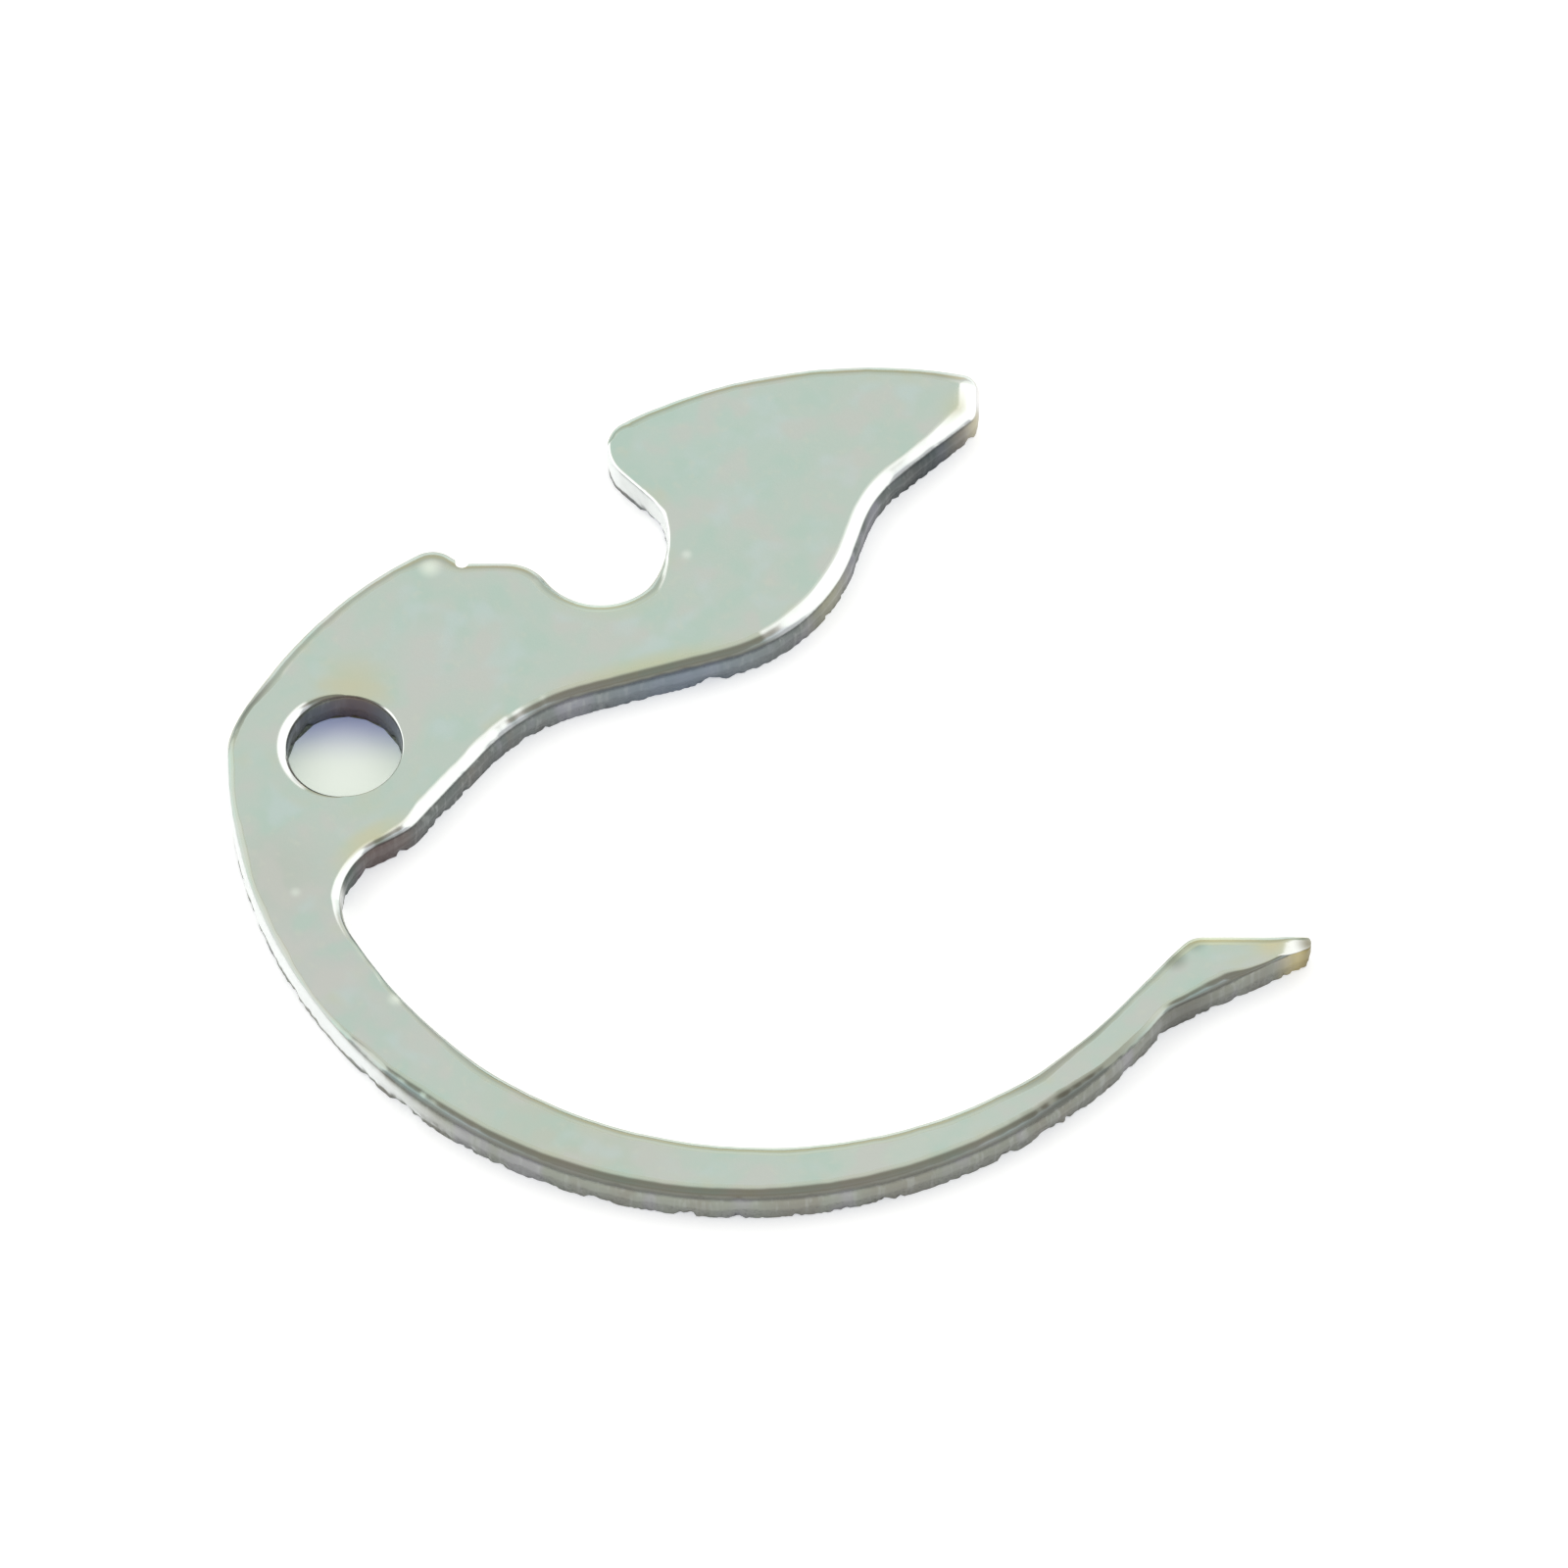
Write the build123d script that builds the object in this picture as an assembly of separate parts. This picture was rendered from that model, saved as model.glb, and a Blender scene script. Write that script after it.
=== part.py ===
from build123d import *
import os
from math import radians, sqrt, tan

# Click spring of a watch: one blanking of hardened spring steel.
# Millimetres, in plan from the axis of the post hole, underside at Z = 0.
# X runs from the hole towards the foot, Y from the arm towards the head.

# Stock, and the edge that blanking rolls over all round the upper face
thickness = 0.25
edge_roll = 0.1

# Post hole, with the lighter roll that its own punch leaves
hole_diameter = 0.7
hole_roll = 0.03

# Spring arm, a tapered blade along one large arc
post_margin = 0.725
arm_radius = 3.17
arm_centre_y = -0.02
arm_root_angle = 199.0
arm_heel_angle = -35.8
arm_root_width = 0.44
arm_middle_width = 0.4
arm_end_width = 0.25
root_radius = 0.45

# Foot at the free end of the arm, a wedge that runs out to the toe
foot_rise = 0.56
foot_side_angle = 27.5
foot_flat = 0.93
foot_corner_radius = 0.16
heel_radius = 0.4
toe_radius = 0.062
toe_roll_length = 0.19
toe_roll_drop = 0.04

# Lower edge of the body, from the arm's root to the tip of the head
lip_x, lip_y, lip_radius = 0.415, -0.59, 0.45
waist_x, waist_y, waist_radius = 1.105, 0.26, 1.3
belly_x, belly_y, belly_radius = 2.935, 0.8, 1.2
throat_x, throat_y, throat_radius = 3.255, 1.8, 0.75

# Head, with a long crown from its blunt tip to its rounded nose
tip_x, tip_y, tip_height, tip_radius = 3.895, 2.39, 0.31, 0.12
nose_x, nose_y, nose_radius = 1.435, 2.205, 0.27
crown_rise = 0.26

# Half-round notch under the nose, and the flat beside it
notch_x, notch_y, notch_radius = 1.56, 1.46, 0.41
flank_rise = 0.21
flat_y = 1.35
flat_radius = 0.3

# Shoulder over the hole, its ridge, and the relief nick at the ridge's foot
shoulder_angle = 178.4
shoulder_rise = 0.16
shoulder_radius = 0.6
ridge_x, ridge_y, ridge_radius = 0.535, 1.475, 0.18
ridge_run = 0.17
ridge_foot_radius = 0.06
nick_width = 0.08
nick_depth = 0.07

# Most of an edge that the rounding of its corner may take
corner_share = 0.95

arm_centre = Vector(arm_radius - post_margin, arm_centre_y)


def on_arm(angle, width=0.0):
    """A point of the arm at this angle, so far in from its outer edge."""
    return arm_centre + Vector(arm_radius - width, 0).rotate(Axis.Z, angle)


# Corners where one stretch of the outline hands over to the next
shoulder = on_arm(shoulder_angle)
heel = on_arm(arm_heel_angle)
toe = heel + Vector(foot_rise / tan(radians(foot_side_angle)), foot_rise)
arm_end = on_arm(arm_heel_angle, arm_end_width)
root = on_arm(arm_root_angle, arm_root_width)
tip = Vector(tip_x, tip_y + tip_height)
nose = Vector(nose_x, nose_y)
notch_side = Vector(notch_x + notch_radius, notch_y)
flat_end = Vector(notch_x - sqrt(notch_radius**2 - (notch_y - flat_y) ** 2), flat_y)
ridge = Vector(ridge_x, ridge_y)
ridge_foot = Vector(ridge_x + ridge_run, flat_y)


def arm_outline():
    """Outer edge of the arm, the foot, and the inner edge back to the root."""
    foot_corner = toe - Vector(foot_flat, 0)
    edges = [
        ThreePointArc(shoulder, on_arm(270), heel),
        Polyline(heel, toe, foot_corner, arm_end),
        ThreePointArc(arm_end, on_arm(270, arm_middle_width), root),
    ]
    return edges, [(heel, heel_radius), (foot_corner, foot_corner_radius)]


def body_outline():
    """Lower edge of the body, in four bends that swing out under the head."""
    lip = Vector(lip_x, lip_y)
    waist = Vector(waist_x, waist_y)
    belly = Vector(belly_x, belly_y)
    throat = Vector(throat_x, throat_y)
    tip_foot = Vector(tip_x, tip_y)
    corners = [
        (root, root_radius),
        (lip, lip_radius),
        (waist, waist_radius),
        (belly, belly_radius),
        (throat, throat_radius),
        (tip_foot, tip_radius),
    ]
    return [Polyline(root, lip, waist, belly, throat, tip_foot, tip)], corners


def head_outline():
    """Crown and nose, then round the notch to the flat and the ridge."""
    flank_foot = notch_side + Vector(0, flank_rise)
    notch_floor = Vector(notch_x, notch_y - notch_radius)
    edges = [
        SagittaArc(tip, nose, -crown_rise),
        Polyline(nose, flank_foot, notch_side),
        ThreePointArc(notch_side, notch_floor, flat_end),
        Polyline(flat_end, ridge_foot, ridge),
        SagittaArc(ridge, shoulder, -shoulder_rise),
    ]
    corners = [
        (tip, tip_radius),
        (nose, nose_radius),
        (flank_foot, notch_radius),
        (flat_end, flat_radius),
        (ridge_foot, ridge_foot_radius),
        (ridge, ridge_radius),
        (shoulder, shoulder_radius),
    ]
    return edges, corners


def way_out(side, point):
    """Direction in which an edge leaves the corner at one of its ends."""
    starts_here = (side @ 0 - point).length < (side @ 1 - point).length
    return side % 0 if starts_here else -(side % 1)


def rounded(blank, corners):
    """Round each corner of the blank, as far as the two edges beside it have room."""
    for point, radius in corners:
        corner = blank.vertices().sort_by_distance(point)[0]
        sides = blank.edges().sort_by_distance(point)[:2]
        opening = way_out(sides[0], point).get_angle(way_out(sides[1], point))
        room = corner_share * min(side.length for side in sides) * tan(radians(opening / 2))
        blank = fillet(corner, min(radius, room))
    return blank


def rolled_plate():
    """The blank at full thickness, rolled over round its top and cut to the toe's end."""
    stretches = [arm_outline(), body_outline(), head_outline()]
    edges = [edge for stretch, _ in stretches for edge in stretch]
    corners = [corner for _, bends in stretches for corner in bends]
    blank = rounded(make_face(edges), corners)
    plate = extrude(blank, thickness)
    plate = fillet(plate.faces().sort_by(Axis.Z)[-1].edges(), edge_roll)
    return plate & extrude(rounded(blank, [(toe, toe_radius)]), thickness)


def toe_roll():
    """What blanking draws off the thin toe: the space over an arc that falls to its end."""
    end = toe.X + toe_radius - toe_radius / tan(radians(foot_side_angle / 2))
    start = end - toe_roll_length
    above = 2 * thickness
    arc = TangentArc((start, thickness), (end, thickness - toe_roll_drop), tangent=(1, 0))
    space = Polyline(arc @ 1, (end, above), (start, above), arc @ 0)
    profile = Plane.XZ * make_face([arc, space])
    return Pos(0, toe.Y, 0) * extrude(profile, foot_rise / 2, both=True)


def nick():
    """A narrow relief with a round floor, where the ridge comes down to the flat."""
    radius = nick_width / 2
    floor = Pos(ridge_foot.X, flat_y - nick_depth + radius)
    mouth_height = nick_depth + ridge_y - flat_y
    mouth = Pos(0, mouth_height / 2) * Rectangle(nick_width, mouth_height)
    return extrude(floor * (Circle(radius) + mouth), thickness)


def with_post_hole(plate):
    """Pierce the post hole on the origin and roll its upper rim."""
    plate = plate - extrude(Circle(hole_diameter / 2), thickness)
    rim = plate.faces().sort_by(Axis.Z)[-1].inner_wires()[0]
    return fillet(rim.edges(), hole_roll)


click_spring = with_post_hole(rolled_plate() - toe_roll() - nick())
click_spring.label = "click_spring"

os.makedirs("parts", exist_ok=True)
export_step(click_spring, "parts/click_spring.step")
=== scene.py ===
import math
import bmesh
import bpy
import numpy as np
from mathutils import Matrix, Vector, geometry, kdtree, noise


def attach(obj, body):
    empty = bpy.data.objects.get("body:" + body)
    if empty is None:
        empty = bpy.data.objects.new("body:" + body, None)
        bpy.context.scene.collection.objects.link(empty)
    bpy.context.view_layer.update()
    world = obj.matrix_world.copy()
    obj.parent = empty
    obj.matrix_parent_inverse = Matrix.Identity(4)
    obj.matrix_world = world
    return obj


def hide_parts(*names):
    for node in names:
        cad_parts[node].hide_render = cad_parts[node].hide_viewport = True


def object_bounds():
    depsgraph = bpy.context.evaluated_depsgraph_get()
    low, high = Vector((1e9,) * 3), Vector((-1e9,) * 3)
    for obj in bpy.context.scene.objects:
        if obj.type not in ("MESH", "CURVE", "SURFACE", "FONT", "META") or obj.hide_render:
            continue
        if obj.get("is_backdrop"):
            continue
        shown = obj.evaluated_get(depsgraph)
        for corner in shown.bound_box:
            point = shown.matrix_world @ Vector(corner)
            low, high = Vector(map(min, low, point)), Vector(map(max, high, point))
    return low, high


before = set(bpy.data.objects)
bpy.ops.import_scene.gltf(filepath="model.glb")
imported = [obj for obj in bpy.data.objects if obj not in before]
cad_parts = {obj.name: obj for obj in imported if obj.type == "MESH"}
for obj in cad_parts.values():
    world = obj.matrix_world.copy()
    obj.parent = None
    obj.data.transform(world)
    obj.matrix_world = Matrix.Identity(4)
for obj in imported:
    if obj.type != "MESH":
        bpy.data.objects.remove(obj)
cadLow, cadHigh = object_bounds()
mm = 0.001  # every size below is in millimetres until it reaches a mesh

# The blank in plan: from the axis of the post hole, X towards the foot, Y towards the head
blank = dict(
    thickness=(cadHigh.z - cadLow.z) / mm,
    postMargin=0.725, armRadius=3.17, armCentreY=-0.02, shoulderAngle=178.4,
    armHeelAngle=-35.8, armEndWidth=0.25, armMiddleWidth=0.4, armRootAngle=199.0, armRootWidth=0.44,
    footRise=0.56, footSideAngle=27.5, footFlat=0.93,
    lip=(0.415, -0.59), waist=(1.105, 0.26), belly=(2.935, 0.8), throat=(3.255, 1.8),
    tip=(3.895, 2.39), tipHeight=0.31, nose=(1.435, 2.205), crownRise=0.26,
    notch=(1.56, 1.46), notchRadius=0.41, flankRise=0.21, flatY=1.35,
    ridge=(0.535, 1.475), ridgeRun=0.17, shoulderRise=0.16,
    nickWidth=0.08, nickDepth=0.07, toeRadius=0.062, drawingStep=0.003, pointStep=0.02,
    bends=dict(
        heel=0.4, footCorner=0.16, root=0.45, lip=0.45, waist=1.3, belly=1.2, throat=0.75,
        tipFoot=0.12, tip=0.12, nose=0.27, flankFoot=0.41, flatEnd=0.3, ridgeFoot=0.06, ridge=0.18,
        shoulder=0.6,
    ),
)

# What the blanking tool leaves on the edges. Angles are in degrees, and a point that drops by less
# than levelDrop of a roll's depth is level
edges = dict(
    rollWidth=0.1, rollDepth=0.1, rollStart=6, rollTurns=10, leastRoll=0.02, levelDrop=0.008,
    # how the width wanders: waves per mm, seed, amount
    rollWander=[(5, 1.3, 0.009), (15, 4.1, 0.0036)],
    # places where the roll is wider or narrower: X, Y, reach, change
    rollChanges=[
        (3.02, 1.0, 0.5, 0.03), (3.25, 1.75, 0.6, 0.008), (3.9, 2.45, 0.4, 0.06), (0.5, 1.5, 0.3, 0.06),
        (-0.75, 0.0, 0.6, -0.05), (-0.9, -1.4, 1.25, -0.065), (1.45, 2.2, 0.3, -0.08),
        (1.72, 1.92, 0.33, -0.09), (1.97, 1.5, 0.35, -0.09), (5.75, -1.65, 0.35, -0.08),
        (0.3, -1.75, 0.75, -0.05), (0.2, -0.72, 0.4, -0.04), (4.85, -2.0, 0.7, -0.045),
    ],
    toeRollLength=0.19, toeRollDrop=0.04,
    # the post hole's roll at its least, and what its left side adds
    holeRadius=0.35, holeRollWidth=0.012, holeRollDepth=0.03, holeLeftWidth=0.06, holeLeftDepth=0.03,
    holeDentAngle=42, holeDent=0.12,
    # the wall's rows of points, from the roll down to the underside
    wallRows=(0, 0.08, 0.2, 0.34, 0.46, 0.56, 0.66, 0.76, 0.86, 0.94, 1),
    burnishEnd=0.1, burnishWander=0.03, breakInset=0.006, breakGrain=0.04,
    # waves per mm along the wall
    burnishWaves=7, tearWaves=6, toothWaves=19, grainWaves=31,
)

# How the points of the mesh are spaced, and which of its corners stay sharp
spacing = dict(
    holePoints=160, grid=0.05, gridClear=0.02, ringClear=0.0035, ringSlack=0.0005, sharpAngle=38,
)


def leftOf(line):
    way = np.gradient(line, axis=0)
    way /= np.linalg.norm(way, axis=1)[:, None]
    return np.column_stack((-way[:, 1], way[:, 0]))


# Both outlines run anticlockwise, so their left is the inside
def inwardOf(loop):
    return leftOf(np.vstack((loop[-1:], loop, loop[:1])))[1:-1]


def straight(start, end):
    start, end = np.array(start), np.array(end)
    count = max(8, int(np.linalg.norm(end - start) / blank["drawingStep"]))
    return start + np.linspace(0, 1, count)[:, None] * (end - start)


def arcAround(centre, start, end, sweepSign):
    start, end = np.array(start) - centre, np.array(end) - centre
    first = math.atan2(start[1], start[0])
    sweep = (math.atan2(end[1], end[0]) - first) % (2 * math.pi)
    if sweepSign < 0:
        sweep -= 2 * math.pi
    radius = np.linalg.norm(start)
    count = max(8, int(abs(sweep) * radius / blank["drawingStep"]))
    angles = first + sweep * np.linspace(0, 1, count)
    return centre + radius * np.column_stack((np.cos(angles), np.sin(angles)))


def arcThrough(start, middle, end):
    start, middle, end = (np.array(p, float) for p in (start, middle, end))
    sides = 2 * np.array((middle - start, end - start))
    squares = np.array((middle @ middle - start @ start, end @ end - start @ start))
    centre = np.linalg.solve(sides, squares)
    turn = np.cross(middle - start, end - middle)
    return arcAround(centre, start, end, turn)


def bowed(start, end, rise):
    start, end = np.array(start), np.array(end)
    out = np.array((end[1] - start[1], start[0] - end[0])) / np.linalg.norm(end - start)
    return arcThrough(start, (start + end) / 2 + rise * out, end)


# A bend's centre is where both stretches cross once each has moved its radius to the inside
def roundedLoop(stretches, radii):
    count = len(stretches)
    first, last = [0] * count, [len(s) - 1 for s in stretches]
    bends = [None] * count
    for k, radius in enumerate(radii):
        if not radius:
            continue
        before, after = stretches[k], stretches[(k + 1) % count]
        turn = np.sign(np.cross(before[-1] - before[-2], after[1] - after[0]))
        moved = [line + turn * radius * leftOf(line) for line in (before, after)]
        tree = kdtree.KDTree(len(moved[1]))
        for j, point in enumerate(moved[1]):
            tree.insert((point[0], point[1], 0), j)
        tree.balance()
        nearest = [tree.find((p[0], p[1], 0))[1:] for p in moved[0]]
        i = min(range(len(nearest)), key=lambda n: nearest[n][1])
        j = nearest[i][0]
        last[k], first[(k + 1) % count] = i, j
        bends[k] = arcAround((moved[0][i] + moved[1][j]) / 2, before[i], after[j], turn)
    pieces = []
    for k in range(count):
        pieces.append(stretches[k][first[k]:last[k]])
        if bends[k] is not None:
            pieces.append(bends[k][:-1])
    return np.concatenate(pieces)


def evenly(loop, step):
    closed = np.vstack((loop, loop[:1]))
    along = np.concatenate(([0], np.cumsum(np.linalg.norm(np.diff(closed, axis=0), axis=1))))
    places = np.linspace(0, along[-1], int(along[-1] / step) + 1)[:-1]
    return np.column_stack([np.interp(places, along, closed[:, axis]) for axis in (0, 1)])


# Two loops: the blank as it rolls over, with a sharp toe, and the same with its toe and nick cut.
# Each stretch comes with the radius of the bend at its end
def springLoops():
    centre = np.array((blank["armRadius"] - blank["postMargin"], blank["armCentreY"]))

    def onArm(angle, width=0.0):
        turn = math.radians(angle)
        return centre + (blank["armRadius"] - width) * np.array((math.cos(turn), math.sin(turn)))

    heel, shoulder = onArm(blank["armHeelAngle"]), onArm(blank["shoulderAngle"])
    run = blank["footRise"] / math.tan(math.radians(blank["footSideAngle"]))
    toe = heel + np.array((run, blank["footRise"]))
    footCorner = toe - np.array((blank["footFlat"], 0))
    armEnd = onArm(blank["armHeelAngle"], blank["armEndWidth"])
    root = onArm(blank["armRootAngle"], blank["armRootWidth"])
    tipFoot = np.array(blank["tip"])
    tip = tipFoot + np.array((0, blank["tipHeight"]))
    notch = np.array(blank["notch"])
    notchSide = notch + np.array((blank["notchRadius"], 0))
    flankFoot = notchSide + np.array((0, blank["flankRise"]))
    notchFloor = notch - np.array((0, blank["notchRadius"]))
    flatRun = math.sqrt(blank["notchRadius"] ** 2 - (notch[1] - blank["flatY"]) ** 2)
    flatEnd = np.array((notch[0] - flatRun, blank["flatY"]))
    ridge = np.array(blank["ridge"])
    ridgeFoot = np.array((ridge[0] + blank["ridgeRun"], blank["flatY"]))
    bend = blank["bends"]
    arm = [(arcThrough(shoulder, onArm(270), heel), bend["heel"])]
    inner = [
        (straight(footCorner, armEnd), 0),
        (arcThrough(armEnd, onArm(270, blank["armMiddleWidth"]), root), bend["root"]),
        (straight(root, blank["lip"]), bend["lip"]),
        (straight(blank["lip"], blank["waist"]), bend["waist"]),
        (straight(blank["waist"], blank["belly"]), bend["belly"]),
        (straight(blank["belly"], blank["throat"]), bend["throat"]),
        (straight(blank["throat"], tipFoot), bend["tipFoot"]),
        (straight(tipFoot, tip), bend["tip"]),
        (bowed(tip, blank["nose"], blank["crownRise"]), bend["nose"]),
        (straight(blank["nose"], flankFoot), bend["flankFoot"]),
        (straight(flankFoot, notchSide), 0),
        (arcThrough(notchSide, notchFloor, flatEnd), bend["flatEnd"]),
    ]
    back = [
        (straight(ridgeFoot, ridge), bend["ridge"]),
        (bowed(ridge, shoulder, blank["shoulderRise"]), bend["shoulder"]),
    ]
    foot = [(straight(heel, toe), 0), (straight(toe, footCorner), bend["footCorner"])]
    cutFoot = [(foot[0][0], blank["toeRadius"]), foot[1]]
    flat = [(straight(flatEnd, ridgeFoot), bend["ridgeFoot"])]
    half = blank["nickWidth"] / 2
    slope = (ridge[1] - blank["flatY"]) / blank["ridgeRun"]
    mouthRight = ridgeFoot + np.array((half, 0))
    mouthLeft = ridgeFoot + np.array((-half, half * slope))
    floor = ridgeFoot - np.array((0, blank["nickDepth"]))
    right, left = floor + np.array((half, half)), floor + np.array((-half, half))
    nick = [
        (straight(flatEnd, mouthRight), 0),
        (straight(mouthRight, right), 0),
        (arcThrough(right, floor, left), 0),
        (straight(left, mouthLeft), 0),
        (straight(mouthLeft, ridge), bend["ridge"]),
    ]
    rolled = roundedLoop(*zip(*(arm + foot + inner + flat + back)))
    cut = roundedLoop(*zip(*(arm + cutFoot + inner + nick + back[1:])))
    return rolled, cut


print("outline")
rolledLoop, cutLoop = springLoops()
rolledLine, cutLine = (evenly(loop, blank["pointStep"]) for loop in (rolledLoop, cutLoop))


def treeOf(points):
    tree = kdtree.KDTree(len(points))
    for k, point in enumerate(points):
        tree.insert((point[0], point[1], 0), k)
    tree.balance()
    return tree


# Distance of each point from a closed line, and the nearest place on that line
def distanceTo(line, tree, points):
    nearest = np.array([tree.find((p[0], p[1], 0))[1] for p in points])
    best = np.full(len(points), np.inf)
    for side in (-1, 1):
        a, b = line[nearest], line[(nearest + side) % len(line)]
        way = b - a
        share = np.clip(((points - a) * way).sum(1) / (way * way).sum(1), 0, 1)
        best = np.minimum(best, np.linalg.norm(points - a - share[:, None] * way, axis=1))
    return best, nearest


# Which points lie inside a closed line, by counting the sides that each one's level crosses
def insideOf(line, points):
    ahead = np.roll(line, -1, axis=0)
    inside = np.zeros(len(points), bool)
    for (x1, y1), (x2, y2) in zip(line, ahead):
        crosses = (y1 > points[:, 1]) != (y2 > points[:, 1])
        if crosses.any():
            at = x1 + (points[crosses, 1] - y1) * (x2 - x1) / (y2 - y1)
            inside[crosses] ^= points[crosses, 0] < at
    return inside


def waver(points, perMm, seed):
    return np.array([noise.noise(Vector((x * perMm, y * perMm, seed))) for x, y in points])


rolledTree, cutTree = treeOf(rolledLine), treeOf(cutLine)
inward = inwardOf(rolledLine)
rollWidth = np.full(len(rolledLine), edges["rollWidth"])
for perMm, seed, amount in edges["rollWander"]:
    rollWidth += amount * waver(rolledLine, perMm, seed)
for x, y, reach, change in edges["rollChanges"]:
    away = np.linalg.norm(rolledLine - np.array((x, y)), axis=1) / reach
    rollWidth += change * np.clip(1 - away ** 2, 0, 1)
rollWidth = np.maximum(rollWidth, edges["leastRoll"])
rollDepth = edges["rollDepth"] * np.minimum(rollWidth / edges["rollWidth"], 1)

# The face was stoned flat after blanking, so each roll leaves it with a faint crease
crease = math.sin(math.radians(edges["rollStart"]))


def rollDrop(distance, width, depth):
    rise = np.clip(1 - distance / width, 0, 1) * (1 - crease) + crease
    drop = depth * (math.sqrt(1 - crease ** 2) - np.sqrt(1 - rise * rise))
    return np.where(drop > edges["levelDrop"] * depth, drop, 0)


# The post hole's roll bears on its left side, with a small dent at the upper right
def holeLeft(angle):
    left = np.clip(-np.cos(angle), 0, 1) ** 0.8
    dent = np.clip(np.cos(angle - math.radians(edges["holeDentAngle"])), 0, 1) ** 30
    return left + edges["holeDent"] * dent


def holeRoll(angle):
    share = holeLeft(angle)
    width = edges["holeRollWidth"] + edges["holeLeftWidth"] * share
    return width, edges["holeRollDepth"] + edges["holeLeftDepth"] * share


toeEnd = cutLine[:, 0].max()


# Height of the upper side over each point of the plan
def upperSide(points):
    distance, nearest = distanceTo(rolledLine, rolledTree, points)
    drop = rollDrop(distance, rollWidth[nearest], rollDepth[nearest])
    share = np.clip((points[:, 0] - toeEnd) / edges["toeRollLength"] + 1, 0, 1)
    toeDrop = edges["toeRollDrop"] * share
    fromHole = np.linalg.norm(points, axis=1) - edges["holeRadius"]
    holeWidth, holeDepth = holeRoll(np.arctan2(points[:, 1], points[:, 0]))
    holeDrop = rollDrop(fromHole, holeWidth, holeDepth)
    return blank["thickness"] - np.maximum(np.maximum(drop, toeDrop), holeDrop)


# Rings of points down the roll stand at even turns of its arc
def ringShares(turns):
    turn = np.linspace(math.pi / 2, math.radians(edges["rollStart"]), turns + 1)[1:]
    return (1 - np.sin(turn)) / (1 - crease)


print("upper side")
ringPoints, ringLinks = [], []


# Neighbours along a ring stay linked, so that the roll is filled in clean strips
def addRing(ring, kept):
    place = sum(map(len, ringPoints)) + np.cumsum(kept) - 1
    both = np.flatnonzero(kept & np.roll(kept, -1))
    ringLinks.extend((place[k], place[(k + 1) % len(ring)]) for k in both)
    ringPoints.append(ring[kept])


# A ring keeps the points that lie its full distance in from the edge and clear of the cuts
for share in ringShares(edges["rollTurns"]):
    ring = rolledLine + inward * (rollWidth * share)[:, None]
    away, _ = distanceTo(rolledLine, rolledTree, ring)
    clear, _ = distanceTo(cutLine, cutTree, ring)
    inPlace = (away > rollWidth * share - spacing["ringSlack"]) & (clear > spacing["ringClear"])
    addRing(ring, inPlace & insideOf(cutLine, ring))
holeAngles = np.linspace(0, 2 * math.pi, spacing["holePoints"], endpoint=False)
holeWay = np.column_stack((np.cos(holeAngles), np.sin(holeAngles)))
holeLine = edges["holeRadius"] * holeWay
holeWidths, _ = holeRoll(holeAngles)
for share in ringShares(edges["rollTurns"]):
    addRing(holeWay * (edges["holeRadius"] + holeWidths * share)[:, None], np.ones(len(holeWay), bool))

# The level face between the rolls takes a grid of even triangles
low, high = cutLine.min(0), cutLine.max(0)
rows = []
for k, y in enumerate(np.arange(low[1], high[1], spacing["grid"] * math.sqrt(0.75))):
    x = np.arange(low[0] + (k % 2) * spacing["grid"] / 2, high[0], spacing["grid"])
    rows.append(np.column_stack((x, np.full(len(x), y))))
grid = np.concatenate(rows)
grid = grid[insideOf(cutLine, grid)]
away, nearest = distanceTo(rolledLine, rolledTree, grid)
holeGap = np.linalg.norm(grid, axis=1) - edges["holeRadius"]
holeClear = edges["holeRollWidth"] + edges["holeLeftWidth"] + spacing["gridClear"]
grid = grid[(away > rollWidth[nearest] + spacing["gridClear"]) & (holeGap > holeClear)]

flatPoints = np.concatenate([cutLine, holeLine] + ringPoints + [grid])
outer, hole = len(cutLine), len(holeLine)


def loopEdges(first, count):
    return [(first + k, first + (k + 1) % count) for k in range(count)]


# Fills the plan with triangles; where two links cross, one more corner comes after the points
def filled(points, links):
    made = geometry.delaunay_2d_cdt([Vector(p) for p in points], links, [], 1, 1e-6)
    corners = np.array([p[:] for p in made[0]])
    triangles = np.array([f for f in made[2] if len(f) == 3])
    middles = corners[triangles].mean(1)
    keep = np.linalg.norm(middles, axis=1) > edges["holeRadius"] * 0.999
    assert np.allclose(corners[:len(points)], points, atol=1e-4), (len(corners), len(points))
    return corners, triangles[keep]


loops = loopEdges(0, outer) + loopEdges(outer, hole)
ringLinks = [(int(a) + outer + hole, int(b) + outer + hole) for a, b in ringLinks]
flatPoints, upperFaces = filled(flatPoints, loops + ringLinks)
upperHeights = upperSide(flatPoints)
print("upper side has", len(flatPoints), "points and", len(upperFaces), "faces")


# A sheared wall: smooth burnish under the roll, then the grain where the metal broke away
def shearedWall(line, out, top, seed):
    end = edges["burnishEnd"] + edges["burnishWander"] * waver(line, edges["burnishWaves"], seed)
    teeth = waver(line, edges["toothWaves"], seed + 5)
    torn = np.clip(waver(line, edges["tearWaves"], seed + 3) + 0.6 * teeth, 0, 1)
    plan, heights = [], []
    for k, row in enumerate(edges["wallRows"]):
        height = top * (1 - row)
        broken = np.clip((end - height) / end, 0, 1)
        grain = np.clip(torn + 0.4 * waver(line, edges["grainWaves"], seed + 9 + k * 0.7), 0, 1)
        inset = edges["breakInset"] * np.sqrt(broken) + edges["breakGrain"] * grain * broken
        plan.append(line - out * inset[:, None])
        heights.append(height)
    return plan, heights


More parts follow.
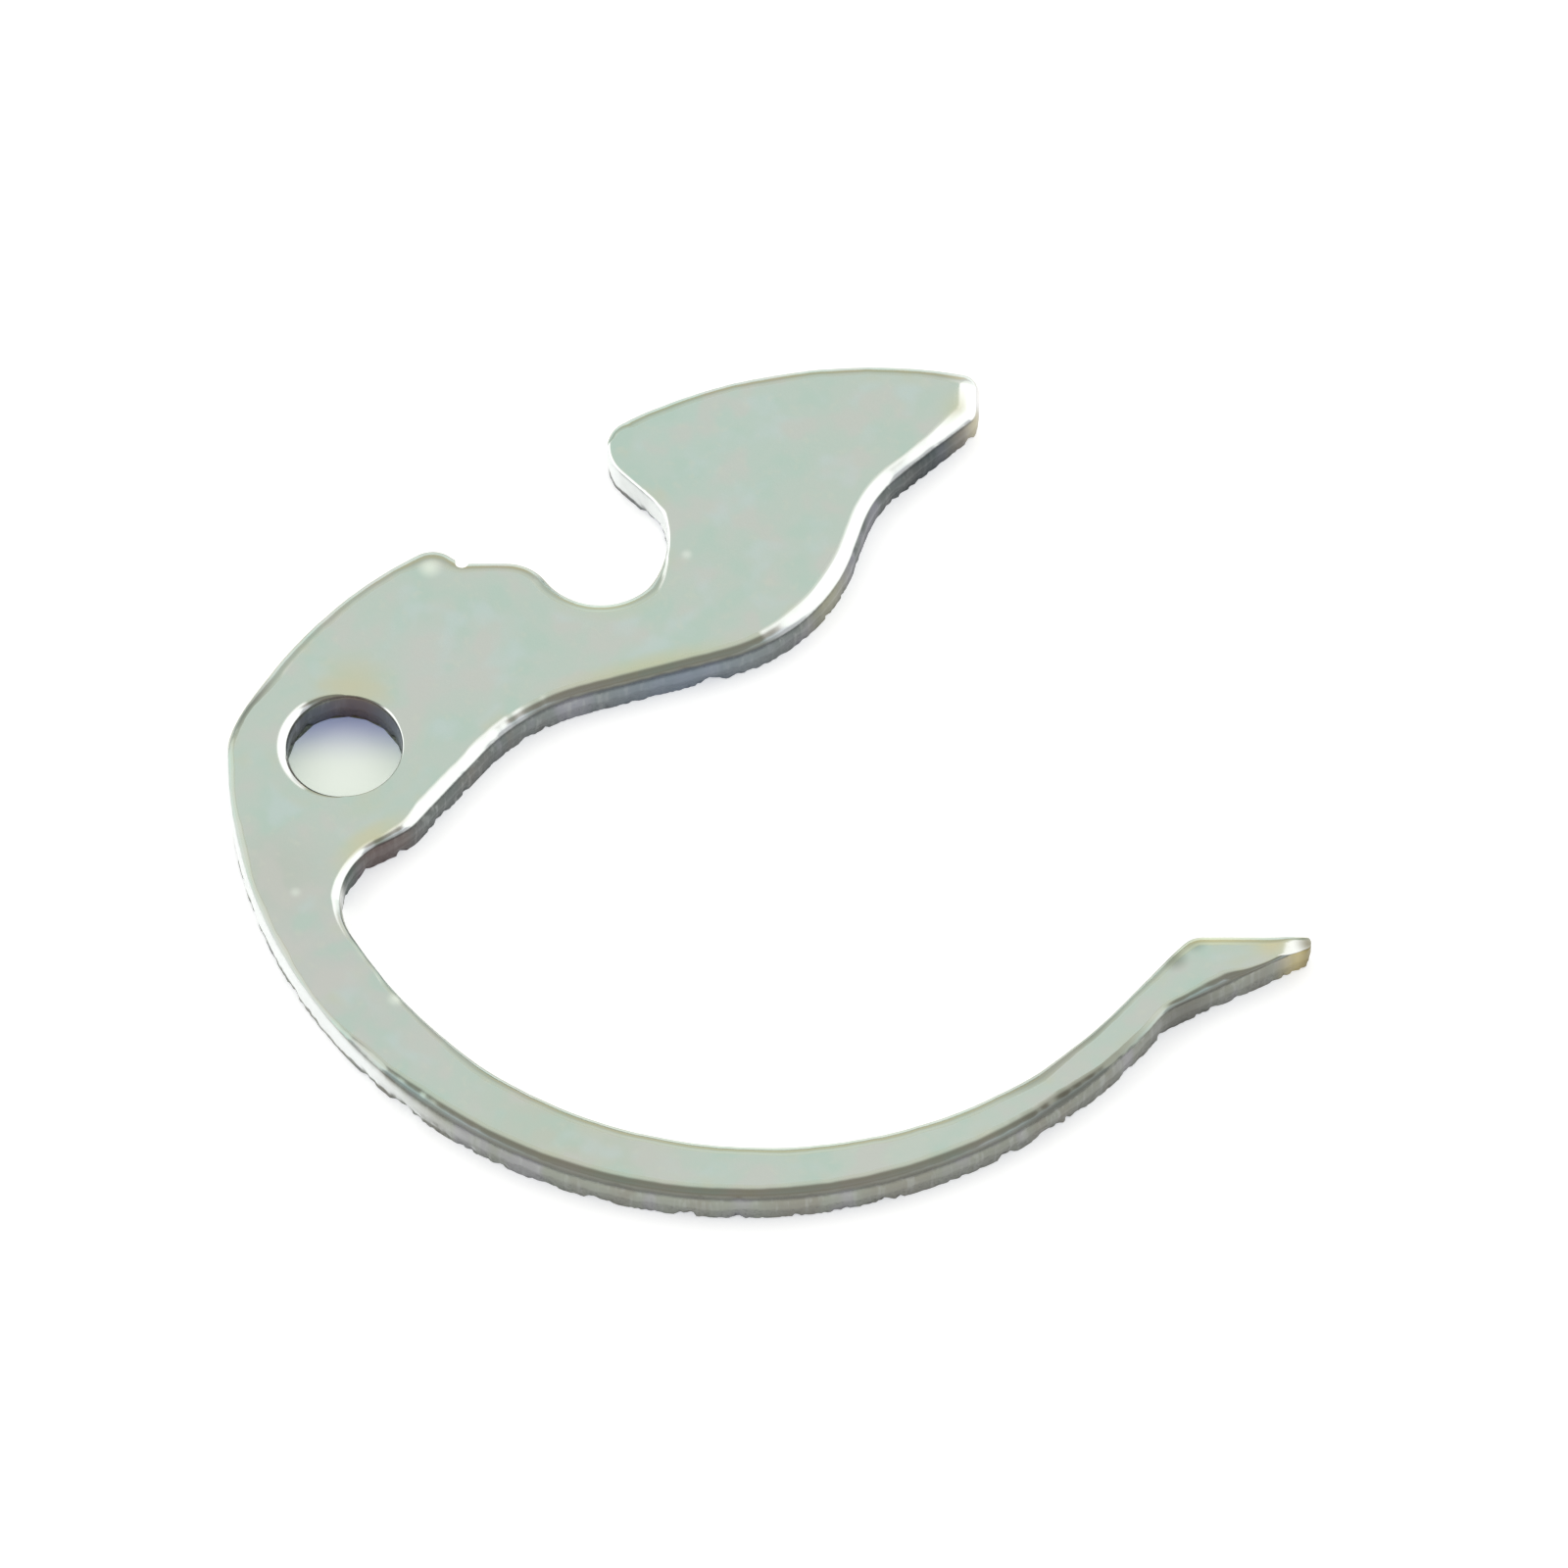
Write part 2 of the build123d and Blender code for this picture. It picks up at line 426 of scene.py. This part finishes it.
def wallFaces(first, starts, count, facesIn):
    made = []
    for above, below in zip([first] + starts[:-1], starts):
        for k in range(count):
            n = (k + 1) % count
            face = (above + k, below + k, below + n, above + n)
            made.append(face[::-1] if facesIn else face)
    return made


print("walls and underside")
points = [np.column_stack((flatPoints, upperHeights))]
total = len(flatPoints)
wallList, bottoms = [], []
for line, out, first, seed in ((cutLine, -inwardOf(cutLine), 0, 2.0), (holeLine, -holeWay, outer, 6.0)):
    top = upperHeights[first:first + len(line)]
    plan, heights = shearedWall(line, out, top, seed)
    starts = []
    for row in range(1, len(plan)):
        starts.append(total)
        points.append(np.column_stack((plan[row], heights[row])))
        total += len(line)
    wallList += wallFaces(first, starts, len(line), line is holeLine)
    bottoms.append((plan[-1], starts[-1]))

lowLine = np.concatenate([plan for plan, _ in bottoms])
_, lowFaces = filled(lowLine, loopEdges(0, outer) + loopEdges(outer, hole))
lowIndex = np.concatenate([start + np.arange(len(plan)) for plan, start in bottoms])
allPoints = np.concatenate(points)
allPoints[:, 2] = np.clip(allPoints[:, 2], 0, None)

faces = [tuple(map(int, f)) for f in upperFaces]
faces += [tuple(map(int, f)) for f in wallList]
faces += [tuple(int(lowIndex[k]) for k in f[::-1]) for f in lowFaces]
mesh = bpy.data.meshes.new("clickSpring")
mesh.from_pydata([tuple(p * mm) for p in allPoints], [], faces)
mesh.validate()
spring = bpy.data.objects.new("click_spring_steel", mesh)
bpy.context.collection.objects.link(spring)
mesh.polygons.foreach_set("use_smooth", [True] * len(mesh.polygons))
mesh.set_sharp_from_angle(angle=math.radians(spacing["sharpAngle"]))

# The crease between the level face and a roll stays sharp, so that the face reflects as a flat
work = bmesh.new()
work.from_mesh(mesh)
for edge in work.edges:
    if [face.normal.z > 0.9999 for face in edge.link_faces].count(True) == 1:
        edge.smooth = False
work.to_mesh(mesh)
work.free()

# How far each point is from the nearest edge, for the colours along the edges
fromEdge, _ = distanceTo(rolledLine, rolledTree, allPoints[:, :2])
fromHole = np.linalg.norm(allPoints[:, :2], axis=1) - edges["holeRadius"]
edgeData = mesh.attributes.new("fromEdge", "FLOAT", "POINT")
edgeData.data.foreach_set("value", np.minimum(fromEdge, np.abs(fromHole)))
print("spring has", sum(len(f) - 2 for f in faces), "triangles")


def addNode(tree, kind, values=None, links=None, **settings):
    node = tree.nodes.new(kind)
    for name, value in settings.items():
        setattr(node, name, value)
    for socket, value in (values or {}).items():
        node.inputs[socket].default_value = value
    for socket, source in (links or {}).items():
        tree.links.new(source, node.inputs[socket])
    return node


def linear(hexColour):
    parts = [int(hexColour[k:k + 2], 16) / 255 for k in (1, 3, 5)]
    return [p / 12.92 if p <= 0.04045 else ((p + 0.055) / 1.055) ** 2.4 for p in parts] + [1]


def strong(hexColour, strength):
    return [part * strength for part in linear(hexColour)[:3]] + [1]


def newMaterial(name):
    material = bpy.data.materials.new(name)
    material.use_nodes = True
    material.node_tree.nodes.clear()
    return material, material.node_tree


# Spring steel as its tools left it. Tumbling gives the face a soft grey-green shine, the die burnishes the
# rolls smooth and draws streaks down the wall, tempering warms the rims to straw, and torn grain makes the
# foot of the wall duller. Light and shade are painted into the colour as well: white painted highlights on
# chosen rolls, painted light on walls facing -X or +Y, painted shade on walls facing +X or inside the C
# and on the steep part of the near rolls, and painted spots. Sizes are in mm
steel = dict(
    colour="#B8C6BE", roughness=0.3, roughnessSpread=0.1,
    # how the face's own colour drifts over the blank: X, Y, reach, colour, mask
    regions=[
        (-0.1, -1.6, 1.3, "#BEC1BE", None), (1.4, -2.7, 0.9, "#B9C0B4", None),
        (3.4, -2.7, 1.2, "#BEC8C0", None), (0.55, 0.6, 0.5, "#BEC5C1", None),
        (2.1, 2.3, 1.1, "#B4C8C0", None), (-0.4, -0.9, 0.5, "#B7BEB6", None),
    ],
    # size, detail, and how much longer the pattern is up the wall than along it
    noises=dict(
        patches=(0.3, 2, 1), clouds=(0.27, 2, 1), specks=(0.08, 3, 1), satin=(0.02, 2, 1),
        streaks=(0.035, 3, 9), tear=(0.13, 2, 3), crumbs=(0.02, 3, 1), stains=(0.3, 2, 4),
    ),
    # a level that wanders: base, noise, amount
    levels=dict(tornAt=("height", "tear", 0.09), shearAt=("upright", "specks", 0.12)),
    # source, where it starts, where it is full, and the mask that it stays within. Sideways, headward
    # and upright are the X, Y and Z that the surface faces, and across is the X that it faces in plan
    masks=dict(
        green=("patches", 0.5, 0.66, None), pink=("patches", 0.5, 0.35, None),
        pale=("clouds", 0.5, 0.72, None), fleck=("specks", 0.55, 0.75, None),
        face=("upright", 0.9, 0.99, None), level=("upright", 0.996, 0.9995, None),
        rim=("fromEdge", 0.2, 0.1, "face"), rimPale=("fromEdge", 0.2, 0.1, "pale"),
        worn=("upright", 0.998, 0.98, None), notSteep=("upright", 0.82, 0.9, None),
        straw=("upright", 0.995, 0.98, "notSteep"),
        # The steep part of the rolls that face the near side gets an olive painted shade, standing in for
        # the dark reflection there
        nearSide=("headward", -0.5, -0.7, None), steepPaintedShade=("upright", 0.88, 0.8, "nearSide"),
        wall=("shearAt", 0.8, 0.6, None), torn=("tornAt", 0.175, 0.14, None),
        # Painted shade: walls that face +X are darkened
        rightWallPaintedShade=("sideways", 0.1, 0.6, "wall"),
        # Painted shade: walls inside the C, within the arm's circle, are darkened, and more so where they
        # face +X
        inner=("fromArmCentre", 3.0, 2.75, "wall"), innerRightPaintedShade=("sideways", 0.35, 0.8, "inner"),
        clean=("tornAt", 0.07, 0.1, "wall"), clear=("fromPost", 0.38, 0.45, "clean"),
        # Painted light: walls facing -X, clear of the torn foot and of the post hole, are painted near
        # white, and walls facing +Y lighter
        leftWallPaintedLight=("sideways", -0.48, -0.76, "clear"), farWallPaintedLight=("headward", -0.05, 0.3, "wall"),
        notWall=("upright", 0.6, 0.7, None), rolled=("upright", 0.992, 0.975, "notWall"),
        backRoll=("headward", 0.05, 0.25, "rolled"), nearRoll=("headward", 0.15, 0.02, "rolled"),
        # Painted highlights: near rolls facing +X or -X inside the arm's circle, and the post hole's rolls
        # facing +X, are painted white
        rightRollPaintedHighlight=("across", 0.5, 0.62, "nearRoll"), bodyRightRollPaintedHighlight=("fromArmCentre", 3.12, 3.05, "rightRollPaintedHighlight"),
        leftSide=("across", -0.5, -0.65, "nearRoll"), leftRollPaintedHighlight=("fromArmCentre", 2.95, 2.85, "leftSide"),
        postSide=("across", 0.5, 0.62, "rolled"), postRollPaintedHighlight=("fromPost", 0.46, 0.43, "postSide"),
        brown=("stains", 0.5, 0.66, "wall"), violet=("stains", 0.48, 0.36, "wall"),
        streak=("streaks", 0.5, 0.7, "wall"), grit=("crumbs", 0.5, 0.7, "torn"),
    ),
    # mask, colour, strength
    layers=[
        ("green", "#AFC6BC", 0.6), ("pink", "#C2C3BF", 0.55), ("pale", "#BCCBCA", 0.6),
        ("fleck", "#C6CCC0", 0.3), ("rimPale", "#BDBC9C", 0.35), ("straw", "#A9A582", 0.2),
        # On the next line: an olive painted shade on the steep near rolls, and painted shade that darkens
        # walls facing +X
        ("steepPaintedShade", "#AFAD9C", 0.8), ("wall", "#969A90", 1), ("rightWallPaintedShade", "#868880", 0.8),
        # Painted shade on the next line: darker walls inside the C
        ("inner", "#828887", 1), ("innerRightPaintedShade", "#666C6A", 1),
        ("brown", "#857A70", 0.35), ("violet", "#A8A3B4", 0.35), ("streak", "#B5B8B6", 0.3),
        # The last layer on the next line is painted light: near-white walls facing -X
        ("torn", "#858584", 0.2), ("grit", "#5F6062", 0.35), ("leftWallPaintedLight", "#FCFFFF", 0.95),
        # On the next line: painted light on walls facing +Y, then white painted highlights on chosen rolls
        ("farWallPaintedLight", "#BFC2B0", 0.8), ("bodyRightRollPaintedHighlight", "#F4F8F6", 0.9), ("leftRollPaintedHighlight", "#F4F8F6", 0.9),
        # The next layer is a painted highlight on the post hole's roll
        ("postRollPaintedHighlight", "#F4F8F6", 0.9),
    ],
    # marks, most of them painted light and shade: painted shade on walls and rolls, white painted
    # highlights at the tip, root and toe, and painted light on rolls facing +Y and on the arm's left wall;
    # the rest are straw tints from tempering by the rims and ends, darker olive at the ridge, grey-green
    # by the foot and small pale flecks: X, Y, reach, colour, mask
    marksAndPaintedLight=[
        # Painted shade: a bluish-dark body wall and a darker olive wall at the belly's end
        (2.05, 0.55, 0.8, "#76828F", "wall"), (2.98, 1.1, 0.34, "#9E9D8A", "wall"),
        # Painted shade: a near-black throat wall and a darker wall at the tip's foot
        (3.56, 2.12, 0.5, "#3C4549", "wall"), (3.8, 2.32, 0.2, "#8A8378", "wall"),
        # Painted highlight: the tip's corner, wall and roll, painted white
        (3.93, 2.55, 0.32, "#FFFFFF", "wall"), (3.93, 2.55, 0.32, "#FFFFFF", "rolled"),
        # A straw tint at the tip's end, and painted shade over the shoulder's roll
        (3.9, 2.37, 0.13, "#C0B898", "wall"), (-0.7, 0.32, 0.4, "#6A7066", "rolled"),
        # Painted shade on the lip's wall, and a painted highlight on the root's wall
        (0.25, -0.72, 0.42, "#5E4A48", "wall"), (-0.03, -1.05, 0.14, "#F0F2F0", "wall"),
        # Painted shade beside the lip and on the post hole's far wall
        (0.04, -0.91, 0.16, "#4C5A54", "wall"), (0.05, 0.34, 0.3, "#86706A", "wall"),
        # Painted shade over the arm's roll, dimming its highlight
        (4.4, -2.55, 0.5, "#828276", "rolled"), (4.72, -2.25, 0.5, "#828276", "rolled"),
        # Painted shade on the foot's wall, and a straw tint on the toe's wall
        (5.1, -1.78, 0.4, "#6E6E68", "wall"), (5.84, -1.44, 0.22, "#C2B482", "wall"),
        # A straw tint on the toe's face, and a white painted highlight on its facet
        (5.66, -1.38, 0.2, "#CCC49C", "face"), (5.82, -1.4, 0.4, "#FFFFFF", "rightRollPaintedHighlight"),
        # The toe's end goes darker olive, straw tint and painted shade over its highlight; then straw
        # tints by the rims
        (5.885, -1.38, 0.11, "#6A6038", None), (3.84, 2.4, 0.25, "#C4C3A2", "face"),
        (0.05, 0.42, 0.33, "#C2C1A6", "face"), (1.9, 0.4, 0.85, "#BEC2A4", "rim"),
        (0.2, -0.72, 0.4, "#C6C4A4", "rim"),
        (0.45, 1.49, 0.13, "#6F6B3E", None), (0.58, 1.49, 0.13, "#75704A", None),
        (5.06, -1.5, 0.12, "#748074", None), (5.18, -1.37, 0.12, "#748074", None),
        # Painted light: lighter rolls facing +Y
        (2.6, -2.8, 2.3, "#C6D3C5", "backRoll"), (1.56, 1.05, 0.4, "#CCDCD0", "backRoll"),
        # Painted light on a roll facing +Y and on the arm's left wall
        (5.3, -1.32, 0.5, "#D4DABC", "backRoll"), (0.2, -1.65, 0.6, "#E8EAE8", "wall"),
        (0.51, 1.28, 0.1, "#E2ECE0", "face"), (-0.29, -1.04, 0.05, "#D2DAD2", "face"),
        (2.09, 1.37, 0.05, "#D6DFD8", "face"), (0.33, -1.79, 0.07, "#E0E8DE", None),
    ],
    markStrength=0.75,
    # mask, roughness
    finish=[("worn", 0.13), ("wall", 0.36), ("torn", 0.55), ("leftWallPaintedLight", 0.7)],
    # pattern, the mask that it stays within, depth
    relief=[("satin", "level", 0.0012), ("streaks", "wall", 0.003), ("crumbs", "torn", 0.006)],
)


def blankedSteel():
    material, tree = newMaterial("tumbledAndShearedSteelWithPaintedLight")
    place = addNode(tree, "ShaderNodeTexCoord").outputs["Object"]
    place = addNode(tree, "ShaderNodeVectorMath", operation="SCALE", values={"Scale": 1 / mm},
                    links={0: place}).outputs[0]
    plan = addNode(tree, "ShaderNodeVectorMath", operation="MULTIPLY", values={1: (1, 1, 0)},
                   links={0: place}).outputs[0]
    armCentre = (blank["armRadius"] - blank["postMargin"], blank["armCentreY"], 0)
    facing = addNode(tree, "ShaderNodeTexCoord").outputs["Normal"]
    planFacing = addNode(tree, "ShaderNodeVectorMath", operation="MULTIPLY", values={1: (1, 1, 0)},
                         links={0: facing}).outputs[0]
    planFacing = addNode(tree, "ShaderNodeVectorMath", operation="NORMALIZE",
                         links={0: planFacing}).outputs[0]
    found = {
        "height": addNode(tree, "ShaderNodeSeparateXYZ", links={0: place}).outputs["Z"],
        "upright": addNode(tree, "ShaderNodeSeparateXYZ", links={0: facing}).outputs["Z"],
        "sideways": addNode(tree, "ShaderNodeSeparateXYZ", links={0: facing}).outputs["X"],
        "headward": addNode(tree, "ShaderNodeSeparateXYZ", links={0: facing}).outputs["Y"],
        "across": addNode(tree, "ShaderNodeSeparateXYZ", links={0: planFacing}).outputs["X"],
        "fromEdge": addNode(tree, "ShaderNodeAttribute", attribute_name="fromEdge").outputs["Fac"],
        "fromPost": addNode(tree, "ShaderNodeVectorMath", operation="LENGTH",
                            links={0: plan}).outputs["Value"],
        "fromArmCentre": addNode(tree, "ShaderNodeVectorMath", operation="DISTANCE",
                                 values={1: armCentre}, links={0: place}).outputs["Value"],
    }
    for name, (size, detail, upright) in steel["noises"].items():
        pitch = (1 / size, 1 / size, 1 / size / upright)
        scaled = addNode(tree, "ShaderNodeVectorMath", operation="MULTIPLY", values={1: pitch},
                         links={0: place})
        noiseNode = addNode(tree, "ShaderNodeTexNoise", values={"Scale": 1, "Detail": detail},
                            links={"Vector": scaled.outputs[0]})
        found[name] = noiseNode.outputs["Fac"]
    for name, (base, pattern, amount) in steel["levels"].items():
        wandering = addNode(tree, "ShaderNodeMath", operation="MULTIPLY_ADD", values={1: amount},
                            links={0: found[pattern], 2: found[base]})
        found[name] = wandering.outputs[0]
    masks = {}
    for name, (source, start, full, within) in steel["masks"].items():
        mask = addNode(tree, "ShaderNodeMapRange", interpolation_type="SMOOTHSTEP",
                       values={"From Min": start, "From Max": full}, links={"Value": found[source]})
        if within:
            mask = addNode(tree, "ShaderNodeMath", operation="MULTIPLY",
                           links={0: mask.outputs[0], 1: masks[within]})
        masks[name] = mask.outputs[0]

    def marked(colour, marks):
        for x, y, reach, tint, within in marks:
            away = addNode(tree, "ShaderNodeVectorMath", operation="DISTANCE", values={1: (x, y, 0)},
                           links={0: plan}).outputs["Value"]
            share = addNode(tree, "ShaderNodeMapRange", interpolation_type="SMOOTHSTEP",
                            links={"Value": away},
                            values={"From Min": reach, "From Max": 0, "To Max": steel["markStrength"]})
            if within:
                share = addNode(tree, "ShaderNodeMath", operation="MULTIPLY",
                                links={0: share.outputs[0], 1: masks[within]})
            colour = addNode(tree, "ShaderNodeMix", data_type="RGBA", values={7: linear(tint)},
                             links={0: share.outputs[0], 6: colour}).outputs[2]
        return colour

    colour = addNode(tree, "ShaderNodeRGB").outputs[0]
    colour.default_value = linear(steel["colour"])
    colour = marked(colour, steel["regions"])
    for name, tint, strength in steel["layers"]:
        share = addNode(tree, "ShaderNodeMath", operation="MULTIPLY", values={1: strength},
                        links={0: masks[name]})
        colour = addNode(tree, "ShaderNodeMix", data_type="RGBA", values={7: linear(tint)},
                         links={0: share.outputs[0], 6: colour}).outputs[2]
    colour = marked(colour, steel["marksAndPaintedLight"])
    spread = steel["roughnessSpread"]
    roughness = addNode(tree, "ShaderNodeMath", operation="MULTIPLY_ADD", links={0: found["specks"]},
                        values={1: spread, 2: steel["roughness"] - spread / 2}).outputs[0]
    for name, value in steel["finish"]:
        roughness = addNode(tree, "ShaderNodeMix", data_type="FLOAT", values={3: value},
                            links={0: masks[name], 2: roughness}).outputs[0]
    height = addNode(tree, "ShaderNodeValue").outputs[0]
    for pattern, name, depth in steel["relief"]:
        share = addNode(tree, "ShaderNodeMath", operation="MULTIPLY", values={1: depth},
                        links={0: masks[name]})
        height = addNode(tree, "ShaderNodeMath", operation="MULTIPLY_ADD",
                         links={0: found[pattern], 1: share.outputs[0], 2: height}).outputs[0]
    bump = addNode(tree, "ShaderNodeBump", values={"Strength": 1, "Distance": mm},
                   links={"Height": height})
    shader = addNode(tree, "ShaderNodeBsdfPrincipled", values={"Metallic": 1},
                     links={"Base Color": colour, "Roughness": roughness, "Normal": bump.outputs[0]})
    addNode(tree, "ShaderNodeOutputMaterial", links={"Surface": shader.outputs[0]})
    return material


print("steel")
mesh.materials.append(blankedSteel())

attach(spring, "root")
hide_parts("click_spring")

# White studio: a dome with a dimmer belt round its foot and a card over the camera, a bright panel at
# each side for the rolls, and one ahead for the face. A later patch covers those before it
studio = dict(
    base=("#F2F4FA", 0.8),
    # azimuth from +Y towards +X, elevation, inner and outer radius in degrees, colour, strength
    patches=dict(
        cameraCard=(180, 66, 32, 40, "#FFF5EC", 0.4),
        belt=(0, -90, 124, 130, "#E6E6EA", 0.65),
        backdrop=(0, 30, 52, 60, "#F6F5F2", 0.92),
        facePanel=(0, 62, 22, 42, "#FFFEFA", 1.065),
        rightPanel=(67, 30, 35.5, 39.5, "#FFFFFD", 1.2),
        leftPanel=(-76, 31, 30.5, 34, "#FFFFFD", 1.3),
        warmLow=(0, 0, 14, 28, "#FFF3DC", 0.88),
    ),
)


def studioWorld():
    world = bpy.data.worlds.new("studio")
    bpy.context.scene.world = world
    world.use_nodes = True
    tree = world.node_tree
    tree.nodes.clear()
    way = addNode(tree, "ShaderNodeTexCoord").outputs["Generated"]
    light = addNode(tree, "ShaderNodeRGB").outputs[0]
    light.default_value = strong(*studio["base"])
    for azimuth, elevation, inner, outer, colour, strength in studio["patches"].values():
        a, e = math.radians(azimuth), math.radians(elevation)
        middle = (math.sin(a) * math.cos(e), math.cos(a) * math.cos(e), math.sin(e))
        turn = addNode(tree, "ShaderNodeVectorMath", operation="DOT_PRODUCT",
                       values={1: middle}, links={0: way})
        share = addNode(tree, "ShaderNodeMapRange", interpolation_type="SMOOTHSTEP",
                        links={"Value": turn.outputs["Value"]},
                        values={"From Min": math.cos(math.radians(outer)),
                                "From Max": math.cos(math.radians(inner))})
        mix = addNode(tree, "ShaderNodeMix", data_type="RGBA",
                      links={0: share.outputs[0], 6: light},
                      values={7: strong(colour, strength)})
        light = mix.outputs[2]
    lit = addNode(tree, "ShaderNodeBackground", links={"Color": light})
    white = addNode(tree, "ShaderNodeBackground", values={"Color": (1, 1, 1, 1)})
    rays = addNode(tree, "ShaderNodeLightPath")
    both = addNode(tree, "ShaderNodeMixShader",
                   links={0: rays.outputs["Is Camera Ray"], 1: lit.outputs[0], 2: white.outputs[0]})
    addNode(tree, "ShaderNodeOutputWorld", links={"Surface": both.outputs[0]})


print("studio")
studioWorld()

# White paper under the spring. Its glow, for camera, glossy and transmission rays, is painted light that
# lifts the shadow to a faint one, and less so inside the post hole, where it is painted shade, blue under
# the far wall and white at the near one. Its glow lifts the shadow to the photo's faint one, and less so
# inside the post hole, where the paper is blue under the far wall and white at the near one
ground = dict(
    # The glow colour is painted light over the shadow, and the hole's two colours are painted shade in the
    # post hole
    half=150, below=0.0005, colour="#F4F3EC", paintedLift=("#F2F6FF", 0.5),
    holeFarPaintedShade=("#3C8CFF", 0.2), holeNearPaintedShade=("#DDFFF6", 0.26), holeFade=(0.3, 0), holeReach=(0.37, 0.5),
)


def paleFloor():
    half, below = ground["half"] * mm, -ground["below"] * mm
    floorMesh = bpy.data.meshes.new("floor")
    corners = [(-half, -half, below), (half, -half, below), (half, half, below), (-half, half, below)]
    floorMesh.from_pydata(corners, [], [(0, 1, 2, 3)])
    floor = bpy.data.objects.new("floor", floorMesh)
    bpy.context.collection.objects.link(floor)
    material, tree = newMaterial("whitePaperWithPaintedLightAndShade")
    paper = addNode(tree, "ShaderNodeBsdfDiffuse", values={"Color": linear(ground["colour"])})
    rays = addNode(tree, "ShaderNodeLightPath")
    seen = addNode(tree, "ShaderNodeMath", operation="MAXIMUM",
                   links={0: rays.outputs["Is Camera Ray"], 1: rays.outputs["Is Glossy Ray"]})
    seen = addNode(tree, "ShaderNodeMath", operation="MAXIMUM",
                   links={0: seen.outputs[0], 1: rays.outputs["Is Transmission Ray"]})
    place = addNode(tree, "ShaderNodeTexCoord").outputs["Object"]
    fromPost = addNode(tree, "ShaderNodeVectorMath", operation="LENGTH", links={0: place}).outputs["Value"]
    headward = addNode(tree, "ShaderNodeSeparateXYZ", links={0: place}).outputs["Y"]
    shares = [
        addNode(tree, "ShaderNodeMapRange", interpolation_type="SMOOTHSTEP", links={"Value": source},
                values={"From Min": start * mm, "From Max": full * mm}).outputs[0]
        for source, (start, full) in ((headward, ground["holeFade"]), (fromPost, ground["holeReach"]))
    ]
    # Painted shade in the post hole, blue towards the far wall, then painted light over the rest of the
    # floor's shadow
    holePaintedShade = addNode(tree, "ShaderNodeMix", data_type="RGBA", links={0: shares[0]},
                     values={6: strong(*ground["holeFarPaintedShade"]), 7: strong(*ground["holeNearPaintedShade"])})
    tint = addNode(tree, "ShaderNodeMix", data_type="RGBA", values={7: strong(*ground["paintedLift"])},
                   links={0: shares[1], 6: holePaintedShade.outputs[2]})
    paintedLift = addNode(tree, "ShaderNodeEmission",
                   links={"Color": tint.outputs[2], "Strength": seen.outputs[0]})
    total = addNode(tree, "ShaderNodeAddShader", links={0: paper.outputs[0], 1: paintedLift.outputs[0]})
    addNode(tree, "ShaderNodeOutputMaterial", links={"Surface": total.outputs[0]})
    floorMesh.materials.append(material)
    floor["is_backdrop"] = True


paleFloor()

# The photo's view: a long lens from the arm's side, looking down on the spring
view = dict(target=(2.689, -0.198, 0.125), elevation=59.3, distance=133.33, lens=500, clip=(10, 1000))


def photoCamera():
    camera = bpy.data.objects.new("camera", bpy.data.cameras.new("camera"))
    bpy.context.collection.objects.link(camera)
    turn = math.radians(view["elevation"])
    back = Vector((0, -math.cos(turn), math.sin(turn)))
    camera.location = (Vector(view["target"]) + back * view["distance"]) * mm
    camera.rotation_euler = (math.pi / 2 - turn, 0, 0)
    camera.data.lens = view["lens"]
    camera.data.clip_start, camera.data.clip_end = (reach * mm for reach in view["clip"])
    bpy.context.scene.camera = camera


photoCamera()
bpy.context.scene.view_settings.view_transform = "Standard"

low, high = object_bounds()
print("box", [list(low), list(high)])
